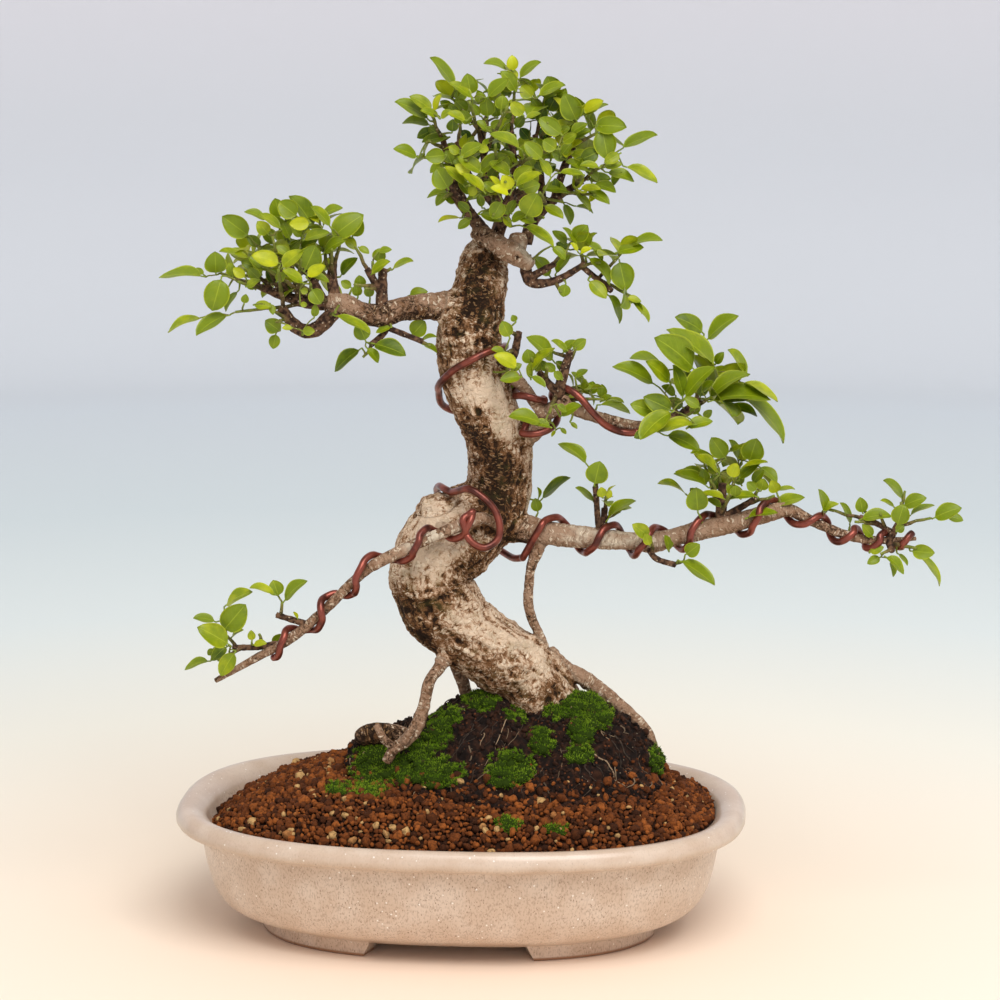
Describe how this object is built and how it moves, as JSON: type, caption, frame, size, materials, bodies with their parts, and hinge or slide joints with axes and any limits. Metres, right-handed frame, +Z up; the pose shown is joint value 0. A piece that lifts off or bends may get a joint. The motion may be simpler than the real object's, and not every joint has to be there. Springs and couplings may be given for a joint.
{
  "type": "kimmen ficus bonsai",
  "caption": "Ficus bonsai with an S-curved trunk, leafy crown and wired side branches, its roots gripping a mossy mound of soil in an oval footed glazed pot; decorative potted tree.",
  "frame": {"origin": "on the ground, under the middle of the whole tree's bounding box", "axes": "+Z up; X along the pot's long side, +X towards the long right branch; -Y towards the front of the tree"},
  "size_m": [0.3932, 0.212, 0.4393],
  "materials": {
    "pot_glaze": "pale beige speckled glaze",
    "drain_plastic": "moulded mesh",
    "baked_clay_grains": "coarse dry grains",
    "peat": "dark fibrous root ball",
    "bark": "rough mottled bark",
    "moss": "soft green cushions",
    "wire": "copper-coloured, glossy",
    "foliage": "waxy yellow-green leaves on thin brown twigs"
  },
  "bodies": {
    "root": {"pot": "pot_glaze", "drain_mesh_left": "drain_plastic", "drain_mesh_right": "drain_plastic", "soil": "baked_clay_grains", "root_mound": "peat", "trunk": "bark", "moss_left": "moss", "moss_right": "moss", "moss_front": "moss", "wire_low": "wire", "wire_high": "wire", "spray_crown_front": "foliage", "spray_crown_side": "foliage", "spray_crown_back": "foliage", "spray_crown_right": "foliage", "spray_left": "foliage", "spray_left_inner": "foliage", "spray_left_under": "foliage", "spray_trunk_side": "foliage", "spray_upper_right_inner": "foliage", "spray_upper_right_end": "foliage", "spray_right_inner": "foliage", "spray_right_hanging": "foliage", "spray_right_middle": "foliage", "spray_right_tip": "foliage", "spray_low_left_tip": "foliage", "spray_low_left_middle": "foliage"}
  },
  "joints": []
}
